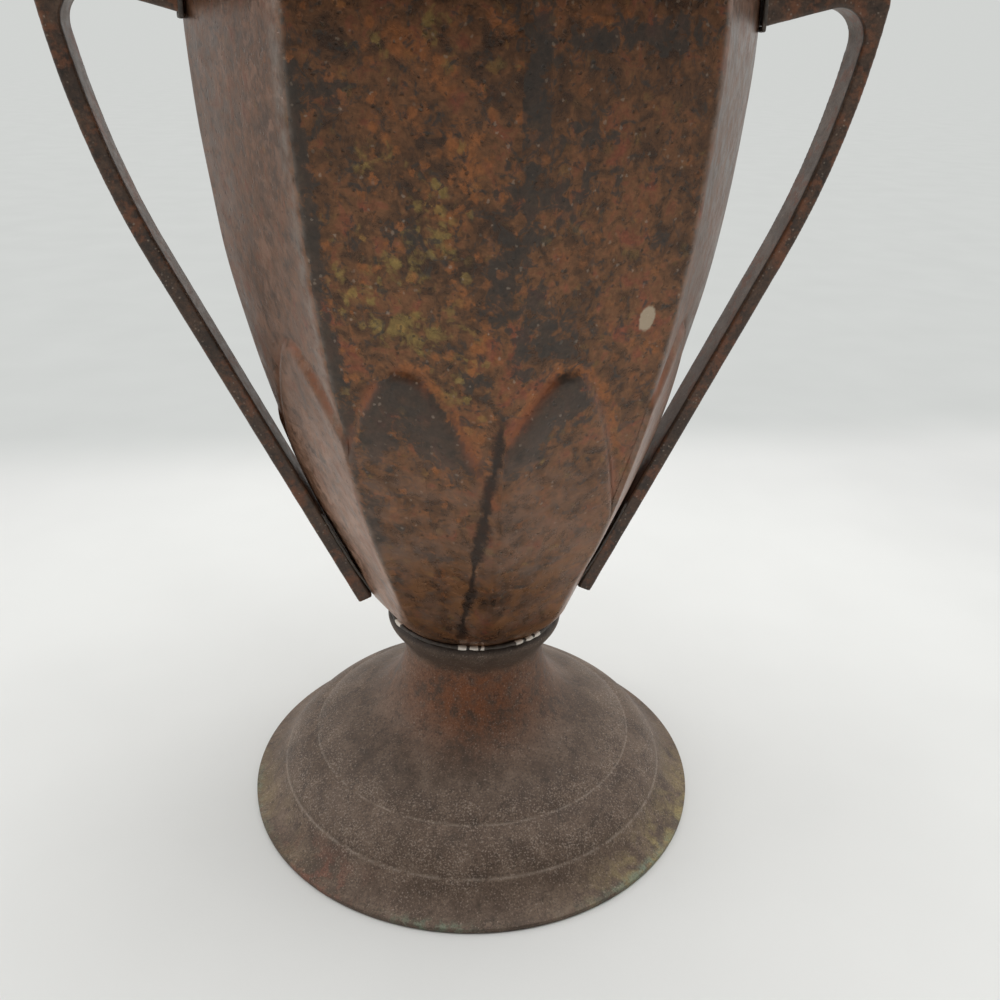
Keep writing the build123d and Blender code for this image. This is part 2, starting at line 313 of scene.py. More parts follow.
def stain_field(stains, at):
    """The strongest stain at each point of the wall."""
    total = np.zeros_like(at.height)
    for number, place, middle, half_width, half_height, strength in stains:
        place += STAIN_SHIFT.get(number, 0)
        spot = bell(at.across - place, half_width) * bell(at.height - middle, half_height)
        total = np.maximum(total, strength * spot * (at.panel == number))
    return total


def body_grid():
    """Angles and heights of the wall's points, up the outside and down the hollow, and 1 for those outside."""
    share = (np.arange(BODY_COLUMNS) + 0.5) * PANELS / BODY_COLUMNS
    share = share - RIDGE_CROWDING * np.sin(2 * math.pi * share) / (2 * math.pi)
    angle = np.interp(share, np.arange(PANELS + 1), RIDGES)
    outer = np.append(np.arange(BASE_HEIGHT, SHOULDER_HEIGHT, OUTER_STEP), SHOULDER_HEIGHT)
    inner = np.linspace(SHOULDER_HEIGHT, BASE_HEIGHT + SHEET, INNER_ROWS)
    heights = np.concatenate([outer, inner])
    is_outer = np.concatenate([np.ones(len(outer)), np.zeros(len(inner))])[:, None]
    return np.tile(angle, (len(heights), 1)), np.repeat(heights[:, None], BODY_COLUMNS, 1), is_outer


def on_panels(angle, height):
    """Where points of the wall stand on the panels, and the wall's radius outside and in the hollow."""
    panel = np.clip(np.searchsorted(RIDGES, angle, "right") - 1, 0, PANELS - 1)
    middle = (RIDGES[panel] + RIDGES[panel + 1]) / 2
    half_panel = (RIDGES[panel + 1] - RIDGES[panel]) / 2
    ridge = panel + (angle > middle)
    from_ridge = angle - RIDGES[ridge]
    radius_at, corner_at = body_curves()
    radius = radius_at(height)
    crisp = 1 - (1 - RIDGE_CRISPNESS) * step_up(height, *CRISP_FROM) * step_down(height, *CRISP_TO)
    corner = corner_at(height) * crisp
    wall = panel_radius(np.abs(from_ridge), half_panel, radius, corner)
    at = SimpleNamespace(height=height, ridge=ridge, wall=wall, from_ridge=from_ridge * wall)
    at.hollow = panel_radius(np.abs(from_ridge), half_panel, radius - SHEET, corner)
    at.across = wall * np.sin(angle - middle)
    at.half_width = radius * np.sin(half_panel)
    # Panels are counted from the front right one, as in the tables of stains
    at.panel = (panel + 2) % PANELS
    at.inside = petal_distance(at.panel, at.across, height)
    return at


def petal_relief(at):
    """How far the petals stand off the panels, with a soft dome inside and a chased line outside."""
    arch_fade = step_up(at.half_width - np.abs(at.across), 0.5, 5)
    rise = PETAL_FOOT_RELIEF + (PETAL_RELIEF - PETAL_FOOT_RELIEF) * step_up(at.height, *PETAL_RISES)
    relief = rise * step_up(at.inside, -1.2, PETAL_EDGE)
    relief += PETAL_DOME * bell(at.inside - 5, 4.5) * step_up(at.height, 100, 128) * arch_fade
    relief -= CHASE_DEPTH * bell(at.inside + 1.3, 1.1) * step_up(at.height, 110, 130) * arch_fade
    return relief * step_up(at.height, *PETAL_STARTS)


def tip_marks(at):
    """A darker patch just under the tips of the front petals, and the rusty rim outside them."""
    tip_side = at.across - np.array([PETALS[number][0] for number in range(PANELS)])[at.panel]
    left_tip, right_tip = at.panel == FRONT_LEFT, at.panel == FRONT_RIGHT
    dark_marks = step_up(at.inside, -0.5, 0.6) * step_down(at.inside, 6, 15) * step_up(at.height, 125, 133)
    dark_marks *= left_tip * step_up(tip_side, -13, -7) + 0.9 * right_tip * step_down(tip_side, 0, 6)
    rim = bell(at.inside + 1.9, 1.7) * step_up(at.height, 122, 132)
    return dark_marks, rim * (left_tip * step_up(tip_side, -3, 3) + 0.8 * right_tip)


def ridge_highlight_and_wear(at):
    """Painted highlight beside the left ridge, and a little wear with painted highlight along the others apart
    from the dark front one.
    """
    left = (at.ridge == LEFT_RIDGE) * bell(at.from_ridge + 2.6, 2.4)
    left *= step_up(at.height, 120, 160) * step_down(at.height, 215, 245)
    wear_and_highlight = RIDGE_WEAR_AND_HIGHLIGHT * (at.ridge != FRONT_RIDGE) * bell(at.from_ridge, 0.8) * step_up(at.height, 75, 95)
    return np.maximum(left, wear_and_highlight)


def body_fields(at, is_outer):
    """What the body's material reads at each point. The last two points close the wall's two ends."""
    def padded(values, elsewhere=0):
        return np.append(np.where(is_outer > 0, values, elsewhere).ravel(), [elsewhere, elsewhere])

    def stained(stains, seed, strength, also):
        return padded(np.maximum(stain_field(stains + hidden_stains(seed, strength), at), also))

    dark_marks, rim = tip_marks(at)
    on_side = np.isin(at.panel, SIDE_PANELS)
    chip = np.hypot((at.across - CHIP_PLACE[0]) / CHIP_SIZE[0], (at.height - CHIP_PLACE[1]) / CHIP_SIZE[1])
    return {
        "petal_edge": padded(bell(at.inside + 0.4, 1.3) * step_up(at.height, 100, 120)),
        "chip": padded(np.where(at.panel == FRONT_RIGHT, chip, FAR), FAR),
        # taupe marks the side panels for their painted reflection
        "taupe": padded(on_side * step_up(at.half_width - np.abs(at.across), -0.6, 0.8)),
        "pale": padded(ridge_highlight_and_wear(at)),
        "low": padded(step_down(at.height, *LOW_FADES) * ~on_side),
        "ridge_gap": padded(at.from_ridge, FAR),
        "front_ridge": padded(at.ridge == FRONT_RIDGE),
        "dark": stained(DARK_STAINS, 5, 0.9, dark_marks),
        "orange": stained(ORANGE_STAINS, 6, 0.7, rim),
        "olive": stained(OLIVE_STAINS, 7, 0.6, 0),
        "inside": np.append(np.repeat(1 - is_outer, BODY_COLUMNS, 1).ravel(), [0, 1]),
        "coarse": padded(np.isin(at.panel, COARSE_PANELS)),
    }


def make_body():
    angle, height, is_outer = body_grid()
    at = on_panels(angle, height)
    uneven = waves(angle, height, *BODY_WAVES)
    uneven *= step_up(height, 66, 90) * step_down(height, 255, 272)
    radius = np.where(is_outer > 0, at.wall + petal_relief(at), at.hollow) + uneven
    points = np.stack([radius * np.cos(angle), radius * np.sin(angle), height], 2).reshape(-1, 3)
    points = np.vstack([points, [[0, 0, BASE_HEIGHT], [0, 0, BASE_HEIGHT + SHEET]]])
    faces = ring_faces(len(height), BODY_COLUMNS, False, True)
    return make_object("body_wall", points, faces, body_fields(at, is_outer))


# Foot: a spun shell

FOOT_COLUMNS = 288
LOWER_RING, UPPER_RING = (60.2, 10.0), (49.7, 19.4)
BELL_RADIUS, BELL_TURN = 24.0, math.radians(67)
FOOT_RADIUS, FOOT_EDGE, HEM = 70.0, 1.6, 4.0
HEM_ROUND, EDGE_ROUND = 0.25, 0.4
# The lowest tier is hollow like a skirt, and the step above it is rounded
SKIRT_TURN, STEP_TURN = 0.36, -0.36
TIER_POINTS, BELL_POINTS, CUP_POINTS, COLLAR_POINTS = 44, 40, 20, 30
# The collar that holds the body swells a little under its lip
COLLAR_HEIGHTS = (49.5, 52.5, 55.5, 58.5, 60.8, 61.7)
COLLAR_RADII = (21.4, 21.95, 23.9, 25.9, 26.35, 26.0)
CREASE_DEPTH = 0.25
FOOT_WAVES = (21, 0.2, (31, 47, 23))


def foot_profile():
    """The closed profile of the foot: up its outside to the lip, down its inside and round the hem."""
    hollow_centre = (STEM_RADIUS + BELL_RADIUS, STEM_HEIGHT)
    hollow_end = (
        hollow_centre[0] - BELL_RADIUS * math.cos(BELL_TURN),
        hollow_centre[1] - BELL_RADIUS * math.sin(BELL_TURN),
    )
    dome_lean = math.atan2(UPPER_RING[1] - hollow_end[1], UPPER_RING[0] - hollow_end[0])
    dome_turn = dome_lean - (BELL_TURN - math.pi / 2)
    cup_turn = math.pi / 2 - math.atan2(LIP_HEIGHT - STEM_HEIGHT, LIP_RADIUS - STEM_RADIUS)
    tiers = [
        arc((FOOT_RADIUS, FOOT_EDGE), LOWER_RING, SKIRT_TURN, TIER_POINTS)[:-1],
        arc(LOWER_RING, UPPER_RING, STEP_TURN, TIER_POINTS)[:-1],
        arc(UPPER_RING, hollow_end, dome_turn, TIER_POINTS)[:-1],
        arc(hollow_end, (STEM_RADIUS, STEM_HEIGHT), BELL_TURN / 2, BELL_POINTS)[:-1],
    ]
    cup = arc((STEM_RADIUS, STEM_HEIGHT), (LIP_RADIUS, LIP_HEIGHT), cup_turn, CUP_POINTS)
    inner = offset_left(np.vstack([*tiers, cup]), SHEET)[::-1]
    above_hem = inner[inner[:, 1] > SHEET + 0.05]
    heights = np.linspace(STEM_HEIGHT, COLLAR_HEIGHTS[-1], COLLAR_POINTS)
    collar = np.stack([smooth_curve(COLLAR_HEIGHTS, COLLAR_RADII)(heights), heights], 1)
    hem_radius = FOOT_RADIUS - HEM
    hem = [(hem_radius, SHEET), (hem_radius, HEM_ROUND), (hem_radius + HEM_ROUND, 0)]
    edge = [(FOOT_RADIUS - EDGE_ROUND, 0), (FOOT_RADIUS, EDGE_ROUND), (FOOT_RADIUS, FOOT_EDGE - 0.3)]
    return np.vstack([*tiers, collar, above_hem, hem, edge])


def foot_wobble(radius, height, angle):
    """The foot's points with a hand-spun unevenness, sunk creases and a wavy lip."""
    move = waves(angle, height, *FOOT_WAVES) * step_up(height, 1.5, 6) * step_down(height, 50, 58)
    crease = bell(height - LOWER_RING[1], 0.8) + bell(height - UPPER_RING[1], 0.8)
    lip = step_up(height, LIP_HEIGHT - 1, LIP_HEIGHT)
    lip_wave = 0.22 * np.sin(7 * angle + 1) + 0.14 * np.sin(17 * angle) + 0.1 * np.sin(29 * angle + 2)
    return radius + move - CREASE_DEPTH * crease, height + lip * lip_wave


def foot_fields(radius, height, angle):
    """What the foot's material reads at each point. Headings are in degrees round the axis."""
    def side(heading, width):
        return facing(angle, heading, width)

    rim = step_up(radius, 58, 68)
    green = rim * np.maximum(side(-32, 26), 0.4 * side(-168, 22))
    green += 0.5 * side(-52, 16) * step_up(radius, 62, 69)
    verdigris = np.maximum(side(-50, 18), np.maximum(side(-105, 10), 0.7 * side(-172, 16)))
    return {
        "dust": np.maximum(bell(radius - LOWER_RING[0] + 3, 6), bell(radius - UPPER_RING[0] + 2, 5)),
        "crease": np.maximum(bell(radius - LOWER_RING[0], 0.22), bell(radius - UPPER_RING[0], 0.22)),
        "collar": step_up(height, 50, 54),
        "warm": step_up(height, 25, 41) * step_down(height, 48, 55) * (0.35 + 0.65 * side(-96, 40)),
        "green": green,
        "verdigris": step_up(radius, 67, 69.5) * verdigris,
        "red": rim * np.maximum(side(-137, 12), 0.5 * side(40, 20)),
        "lip": step_up(height, LIP_HEIGHT - 1.6, LIP_HEIGHT - 0.2),
    }


# Neck: a spun tail, bead, waist and curled mouth

NECK_COLUMNS = 256
TAIL_RADIUS = JOINT_RADIUS - SHEET - SEAT_GAP
NECK_TAIL, TAIL_END, BEAD_RADIUS = 7.0, 3.0, 2.1
NECK_WAIST, MOUTH = (37.2, 297.0), (52.0, 331.0)
CURL_RADIUS, CURL_TURN = 1.62, math.radians(245)
BEAD_POINTS, FLARE_POINTS, CURL_POINTS = 24, 40, 30
NECK_WAVES = (31, 0.18, (41, 27, 53))


def neck_profile():
    """The closed profile of the neck: up its outside to the curl's end and back down its inside."""
    bead_low = (TAIL_RADIUS, SHOULDER_HEIGHT + SEAT_GAP)
    bead_high = (TAIL_RADIUS, bead_low[1] + 2 * BEAD_RADIUS)
    waist_turn = math.atan2(NECK_WAIST[1] - bead_high[1], NECK_WAIST[0] - bead_high[0])
    flare_turn = math.pi / 2 - math.atan2(MOUTH[1] - NECK_WAIST[1], MOUTH[0] - NECK_WAIST[0])
    flare_end = math.pi / 2 - 2 * flare_turn
    centre = (MOUTH[0] + CURL_RADIUS * math.sin(flare_end), MOUTH[1] - CURL_RADIUS * math.cos(flare_end))
    turn = flare_end + math.pi / 2 - np.linspace(0, CURL_TURN, CURL_POINTS)
    curl = np.array(centre) + CURL_RADIUS * np.stack([np.cos(turn), np.sin(turn)], 1)
    outer = np.vstack([
        [(TAIL_RADIUS, SHOULDER_HEIGHT - NECK_TAIL), (TAIL_RADIUS, SHOULDER_HEIGHT - TAIL_END)],
        arc(bead_low, bead_high, -math.pi / 2, BEAD_POINTS),
        arc(bead_high, NECK_WAIST, -(math.pi / 2 - waist_turn), BEAD_POINTS)[1:],
        arc(NECK_WAIST, MOUTH, flare_turn, FLARE_POINTS)[1:],
        curl[1:],
    ])
    return np.vstack([outer, offset_left(outer, SHEET)[::-1]])


def neck_wobble(radius, height, angle):
    return radius + waves(angle, height, *NECK_WAVES) * step_up(height, 281, 288), height


# Handles and solder: fine meshes grown from the solids, with their edges rubbed round

HANDLE_HALF_DEPTH = 5.0
# The dark line along a handle's faces: how far it lies from their edges, and its width
LINE_INSET, LINE_WIDTH = 0.75, 0.3
HANDLE_GRAIN = (0.45, 0.05, 4.0)
SOLDER_GRAIN = (0.3, 0.12, 1.6)
# How far a bar's solder strip is drawn up, as a share of the distance from its top, and the bar's lean
SOLDER_TUCK, BAR_SLOPE = 0.12, 0.478


def read_points(mesh, key):
    values = np.zeros(len(mesh.vertices) * 3)
    mesh.vertices.foreach_get(key, values)
    return values.reshape(-1, 3)


def grown(node, grain):
    """A fine skin of a node. grain is its voxel, how far its lumps reach and how long they are."""
    voxel, reach, length = grain
    name = node + "_skin"
    obj = bpy.data.objects.new(name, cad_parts[node].data.copy())
    bpy.context.scene.collection.objects.link(obj)
    remesh = obj.modifiers.new("skin", "REMESH")
    remesh.mode, remesh.voxel_size = "VOXEL", voxel * MM
    smooth = obj.modifiers.new("rubbed", "SMOOTH")
    smooth.factor, smooth.iterations = 0.5, 3
    bpy.context.view_layer.update()
    mesh = bpy.data.meshes.new_from_object(obj.evaluated_get(bpy.context.evaluated_depsgraph_get()))
    mesh.name = name
    obj.modifiers.clear()
    obj.data = mesh
    place, normal = read_points(mesh, "co"), read_points(mesh, "normal")
    lump = np.array([noise.noise(Vector(point / (length * MM))) for point in place])
    place += normal * (lump * reach * MM)[:, None]
    mesh.vertices.foreach_set("co", place.ravel())
    mesh.polygons.foreach_set("use_smooth", [True] * len(mesh.polygons))
    mesh.update()
    facing_out = np.abs(normal[:, 1])
    line = bell(np.abs(place[:, 1]) / MM - HANDLE_HALF_DEPTH + LINE_INSET, LINE_WIDTH) * (facing_out < 0.85)
    # side marks the faces that turn away from front and back; the handle material paints them paler as painted
    # light
    add_fields(mesh, {"line": line, "side": step_down(facing_out, 0.4, 0.75)})
    return obj


def tuck_in(obj):
    """Draws the lower end of a solder strip up along the bar, to where the bar ends."""
    place = read_points(obj.data, "co")
    rise = (place[:, 2].max() - place[:, 2]) * SOLDER_TUCK
    place[:, 2] += rise
    place[:, 0] += np.sign(place[:, 0]) * rise * BAR_SLOPE
    obj.data.vertices.foreach_set("co", place.ravel())
    return obj


# Cup solder: a lumpy bead in the crease above the lip, laid bare in places

SOLDER_COLUMNS = 360
SOLDER_CENTRE, SOLDER_SIZE, SOLDER_POINTS = (25.35, 62.3), 0.62, 8
# Where the solder is bare: headings round the axis and half widths, in degrees
BARE_PLACES = (
    (-157.5, 4.5), (-104, 3.0), (-96.5, 3.2), (-91, 1.2), (-66, 3.2),
    (-58, 3.4), (-51, 3.2), (-22, 3.0), (60, 5.0),
)


def make_cup_solder():
    angle = np.arange(SOLDER_COLUMNS) * 2 * math.pi / SOLDER_COLUMNS
    bare = np.max([facing(angle, heading, width) for heading, width in BARE_PLACES], 0)
    lumps = 0.22 * np.sin(13 * angle) + 0.2 * np.sin(31 * angle + 1) + 0.16 * np.sin(57 * angle + 2)
    swell = SOLDER_SIZE * (1 + 0.35 * lumps + 0.25 * bare)
    points = []
    for turn in np.arange(SOLDER_POINTS) * 2 * math.pi / SOLDER_POINTS:
        radius = SOLDER_CENTRE[0] + swell * math.cos(turn)
        height = SOLDER_CENTRE[1] + swell * math.sin(turn)
        points.append(np.stack([radius * np.cos(angle), radius * np.sin(angle), height], 1))
    faces = ring_faces(SOLDER_POINTS, SOLDER_COLUMNS, True, False)
    return make_object("cup_solder_bead", np.vstack(points), faces, {"bare": np.tile(bare, SOLDER_POINTS)})


# Materials

class Shader:
    """A short way to lay out the nodes of a material. Places and sizes in it are in millimetres."""

    def __init__(self, name, owners=bpy.data.materials, output="OutputMaterial"):
        self.owner = owners.new(name)
        self.owner.use_nodes = True
        self.tree = self.owner.node_tree
        self.tree.nodes.clear()
        self.output = self.node(output)
        self.place = self.vector("SCALE", self.node("TexCoord").outputs["Object"], 1 / MM)

    def node(self, kind, **settings):
        made = self.tree.nodes.new("ShaderNode" + kind)
        for key, value in settings.items():
            setattr(made, key, value)
        return made

    def put(self, socket, value):
        """Sets a socket to a number or a colour, or links another socket to it."""
        if isinstance(value, bpy.types.NodeSocket):
            self.tree.links.new(value, socket)
        elif isinstance(value, (tuple, list)) and len(value) == 3 and socket.type == "RGBA":
            socket.default_value = (*value, 1)
        else:
            socket.default_value = value

    def fill(self, node, *values):
        """Puts values into the first sockets of a node and gives its first output."""
        for socket, value in zip(node.inputs, values):
            self.put(socket, value)
        return node.outputs[0]

    def field(self, name):
        return self.node("Attribute", attribute_name=name).outputs["Fac"]

    def axis(self, number):
        """A coordinate of the place: 0, 1 or 2 for x, y or z."""
        made = self.node("SeparateXYZ")
        self.put(made.inputs[0], self.place)
        return made.outputs[number]

    def noise(self, size, detail=4.0, rough=0.55, distort=0.0, place=None, colour=False):
        made = self.node("TexNoise")
        self.put(made.inputs["Vector"], place or self.place)
        self.put(made.inputs["Scale"], 1 / size)
        self.put(made.inputs["Detail"], detail)
        self.put(made.inputs["Roughness"], rough)
        self.put(made.inputs["Distortion"], distort)
        return made.outputs["Color" if colour else "Fac"]

    def shift(self, amount, size, seed=0.0):
        """The place moved about by noise, so that cells lose their straight sides."""
        start = self.vector("ADD", self.place, (seed, seed * 0.7, -seed))
        colour = self.noise(size, 3.0, 0.6, place=start, colour=True)
        centred = self.vector("SUBTRACT", colour, (0.5, 0.5, 0.5))
        return self.vector("ADD", start, self.vector("SCALE", centred, amount))

    def cells(self, size, place):
        """Loose cells: the distance from each cell's middle, and two chances that each cell draws."""
        made = self.node("TexVoronoi", feature="F1")
        self.put(made.inputs["Vector"], place)
        self.put(made.inputs["Scale"], 1 / size)
        self.put(made.inputs["Randomness"], 1.0)
        chances = self.node("SeparateColor")
        self.put(chances.inputs[0], made.outputs["Color"])
        return made.outputs["Distance"], chances.outputs[0], chances.outputs[1]

    def vector(self, operation, a, b):
        made = self.node("VectorMath", operation=operation)
        self.put(made.inputs[0], a)
        self.put(made.inputs["Scale" if operation == "SCALE" else 1], b)
        return made.outputs[0]

    def math(self, operation, a, b=0.0):
        return self.fill(self.node("Math", operation=operation), a, b)

    def times(self, value, *others):
        for other in others:
            value = self.math("MULTIPLY", value, other)
        return value

    def plus(self, a, b):
        return self.math("ADD", a, b)

    def minus(self, a, b):
        return self.math("SUBTRACT", a, b)

    def blend(self, a, share_a, b, share_b):
        """Two values added by their shares."""
        return self.plus(self.times(a, share_a), self.times(b, share_b))

    def range(self, value, low, high, to_low=0.0, to_high=1.0):
        """A smooth step from to_low at low to to_high at high."""
        made = self.node("MapRange", interpolation_type="SMOOTHSTEP")
        return self.fill(made, value, low, high, to_low, to_high)

    def mix(self, share, a, b, blend="MIX"):
        made = self.node("Mix", data_type="RGBA", blend_type=blend)
        self.put(made.inputs[0], share)
        self.put(made.inputs[6], a)
        self.put(made.inputs[7], b)
        return made.outputs[2]

    def paint(self, colour, paint, *shares):
        """The colour covered with a paint by the product of some shares."""
        return self.mix(self.times(*shares), colour, paint)

    def ramp(self, value, stops):
        made = self.node("ValToRGB")
        self.put(made.inputs[0], value)
        ramp = made.color_ramp
        while len(ramp.elements) < len(stops):
            ramp.elements.new(0.5)
        for element, (position, colour) in zip(ramp.elements, stops):
            element.position = position
            element.color = (*colour, 1)
        return made.outputs[0]

    def vary(self, colour, value, darker, lighter):
        """The colour made darker and lighter by a noise."""
        return self.mix(1.0, colour, self.ramp(value, [(0.30, darker), (0.70, lighter)]), "MULTIPLY")

    def bump(self, height, distance, strength):
        made = self.node("Bump")
        self.put(made.inputs["Height"], height)
        self.put(made.inputs["Distance"], distance * MM)
        self.put(made.inputs["Strength"], strength)
        return made.outputs[0]

    def show(self, surface):
        self.put(self.output.inputs[0], surface)
        return self.owner

    def finish(self, **inputs):
        made = self.node("BsdfPrincipled")
        for key, value in inputs.items():
            self.put(made.inputs[key.replace("_", " ")], value)
        return self.show(made.outputs[0])


# Patina of the body and the neck

CHARCOAL = (0.036, 0.030, 0.024)
DARK_BROWN = (0.060, 0.033, 0.020)
BROWN = (0.115, 0.057, 0.029)
WARM_BROWN = (0.185, 0.086, 0.040)
RUST = (0.300, 0.112, 0.038)
RED_BROWN = (0.215, 0.072, 0.040)
OLIVE = (0.260, 0.180, 0.058)
PALE_BROWN = (0.230, 0.135, 0.092)
LOW_ORANGE = (0.290, 0.130, 0.050)
PETAL_RUST = (0.26, 0.088, 0.040)
# Painted reflection: the taupe colours of the side panels stand for the pale light they reflect
TAUPE_DARK = (0.150, 0.078, 0.048)
TAUPE = (0.265, 0.138, 0.086)
TAUPE_PALE = (0.440, 0.255, 0.175)
RIDGE_HIGHLIGHT_GREY = (0.260, 0.210, 0.175)
# Painted highlight beside the ridges, and along the other ridges also their wear
GREY_SPECK = (0.34, 0.27, 0.21)
LINE_BLACK = (0.020, 0.016, 0.014)
CREAM = (0.50, 0.39, 0.27)
INSIDE_BROWN = (0.055, 0.034, 0.024)
UPPER_SHADE = (0.74, 0.70, 0.66)
# Away from the painted panels: the stains' even strengths, how coarse the flakes are and how much shows
PLAIN_DARK, PLAIN_ORANGE, PLAIN_OLIVE, PLAIN_COARSE, PLAIN_SPARED = 0.12, 0.2, 0.12, 0.4, 0.8
# Heights between which the paint on the panels changes
SHADE_RISES = (165.0, 235.0)
# The side panels' painted reflection grows paler from the first height down to the second
SIDES_PALE = (150.0, 95.0)
SIDES_SPARED = (120.0, 220.0)
GLOW_RISES = (112.0, 84.0)
LINE_LEANS, LINE_SHIFT = (155.0, 60.0), (1.2, 7.2)
LINE_TOP, LINE_FOOT = (148.0, 140.0), (64.0, 70.0)


def flaked(s, colour, panels):
    """The colour under washes and flakes of rust, olive and charcoal, and the share of charcoal."""
    dark, orange, olive, coarse = PLAIN_DARK, PLAIN_ORANGE, PLAIN_OLIVE, PLAIN_COARSE
    spared = PLAIN_SPARED
    if panels:
        dark, orange, olive, coarse = (s.field(key) for key in ("dark", "orange", "olive", "coarse"))
        spared = s.range(dark, 0.85, 0.35, 0.1, PLAIN_SPARED)
    charred = s.range(s.plus(s.noise(3.1, 5.0, 0.68, 0.8), s.times(dark, 0.28)), 0.52, 0.66)
    rust_wash = s.range(s.plus(s.noise(5.5, 4.0, 0.6, 0.5), s.times(orange, 0.3)), 0.60, 0.80)
    olive_wash = s.range(s.plus(s.noise(3.4, 4.0, 0.6, 0.5), s.times(olive, 0.3)), 0.62, 0.84)
    colour = s.paint(colour, RUST, rust_wash, 0.75)
    colour = s.paint(colour, OLIVE, olive_wash, 0.7)
    colour = s.paint(colour, CHARCOAL, charred, 0.8)
    # Flakes: each cell draws its own chance, and a stain raises the chance of its colour
    away, first, second = s.cells(2.5, s.shift(3.0, 1.5))
    core = s.range(away, 0.62, 0.25)
    busy = s.plus(s.times(coarse, 0.55), 0.45)
    rust_flake = s.range(s.plus(first, s.times(orange, 0.42)), 0.74, 0.98)
    olive_flake = s.range(s.plus(second, s.times(olive, 0.52)), 0.86, 1.1)
    colour = s.paint(colour, RUST, rust_flake, core, busy, spared)
    colour = s.paint(colour, OLIVE, olive_flake, core, busy, spared)
    return colour, charred


def specked(s, colour):
    """The colour with fine grey specks and dark pits, and the share of pits."""
    away, first, second = s.cells(1.15, s.shift(1.2, 0.9, 7.0))
    speck = s.times(s.range(first, 0.90, 0.97), s.range(away, 0.42, 0.2))
    pit = s.times(s.range(second, 0.80, 0.92), s.range(away, 0.5, 0.2))
    colour = s.paint(colour, GREY_SPECK, speck, 0.45)
    return s.paint(colour, CHARCOAL, pit, 0.6), pit


def paint_side_reflections(s, coat, z):
    """Painted reflection: the side panels are painted paler, in taupe, for the pale light they reflect."""
    soft = s.range(s.noise(8.0, 4.0, 0.6, 0.5), 0.30, 0.70)
    tone = s.mix(s.range(z, *SIDES_PALE), s.mix(soft, TAUPE_DARK, TAUPE), s.mix(soft, TAUPE, TAUPE_PALE))
    spared = s.range(z, *SIDES_SPARED, 0.0, 0.08)
    reflection = s.range(s.plus(s.noise(3.2, 5.0, 0.65, 0.5), spared), 0.60, 0.46, 0.25, 0.78)
    reflection = s.times(s.field("taupe"), reflection)
    coat.colour = s.mix(reflection, coat.colour, tone)
    coat.rough = s.plus(coat.rough, s.times(reflection, 0.12))
    coat.metal = s.times(coat.metal, s.minus(1.0, s.times(reflection, 0.5)))


def paint_edges(s, coat, z):
    """An orange glow low on the body, a painted highlight beside the left ridge with wear and painted
    highlight along the others, and rust along the petals' edges.
    """
    glow = s.times(s.range(z, *GLOW_RISES), s.range(s.noise(7.0, 4.0, 0.6, 0.4), 0.44, 0.60))
    glow = s.times(glow, s.minus(0.7, s.times(s.field("taupe"), 0.6)))
    coat.colour = s.mix(glow, coat.colour, LOW_ORANGE)
    # The pale field paints a highlight beside the left ridge, and wear with painted highlight along the others
    pale = s.range(s.noise(4.0, 4.0, 0.6), 0.34, 0.60)
    coat.colour = s.paint(coat.colour, RIDGE_HIGHLIGHT_GREY, s.field("pale"), pale, 0.6)
    rusty = s.range(s.noise(7.5, 3.0, 0.5), 0.40, 0.62)
    coat.colour = s.paint(coat.colour, PETAL_RUST, s.field("petal_edge"), rusty, 0.75)


def paint_line(s, coat, z):
    """The dark line that wanders along the front ridge, from the petals down to the cup."""
    wander = s.times(s.minus(s.noise(9.0, 3.0, 0.55), 0.5), 3.2)
    wander = s.plus(wander, s.range(z, *LINE_LEANS, *LINE_SHIFT))
    off = s.math("ABSOLUTE", s.plus(s.field("ridge_gap"), wander))
    width = s.range(s.noise(5.0, 2.0, 0.5), 0.35, 0.65, 0.6, 1.9)
    ragged = s.times(s.minus(s.noise(1.3, 4.0, 0.7), 0.5), 1.6)
    ratio = s.plus(s.math("DIVIDE", off, width), ragged)
    line = s.times(s.range(ratio, 1.5, 0.3), s.field("front_ridge"))
    line = s.times(line, s.times(s.range(z, *LINE_TOP), s.range(z, *LINE_FOOT)))
    coat.colour = s.paint(coat.colour, LINE_BLACK, line, 0.85)
    coat.height = s.minus(coat.height, s.times(line, 0.7))


def paint_chip(s, coat):
    """The cream chip on the front right panel."""
    reach = s.plus(s.field("chip"), s.times(s.minus(s.noise(1.6, 3.0, 0.6), 0.5), 0.5))
    chipped = s.range(reach, 1.1, 0.85)
    coat.colour = s.mix(chipped, coat.colour, CREAM)
    coat.rough = s.plus(coat.rough, s.times(chipped, 0.2))
    coat.metal = s.times(coat.metal, s.minus(1.0, chipped))


def paint_panels(s, coat):
    """All that is painted on the body's panels, and the dull hollow."""
    z = s.axis(2)
    dusty = s.range(s.noise(6.0, 4.0, 0.6, 0.4), 0.34, 0.66)
    coat.colour = s.paint(coat.colour, PALE_BROWN, s.field("low"), dusty, 0.6)
    shaded = s.mix(1.0, coat.colour, UPPER_SHADE, "MULTIPLY")
    coat.colour = s.mix(s.range(z, *SHADE_RISES), coat.colour, shaded)
    paint_side_reflections(s, coat, z)
    paint_edges(s, coat, z)
    paint_line(s, coat, z)
    paint_chip(s, coat)
    inside = s.field("inside")
    coat.colour = s.paint(coat.colour, INSIDE_BROWN, inside, 0.75)
    coat.rough = s.plus(coat.rough, s.times(inside, 0.18))


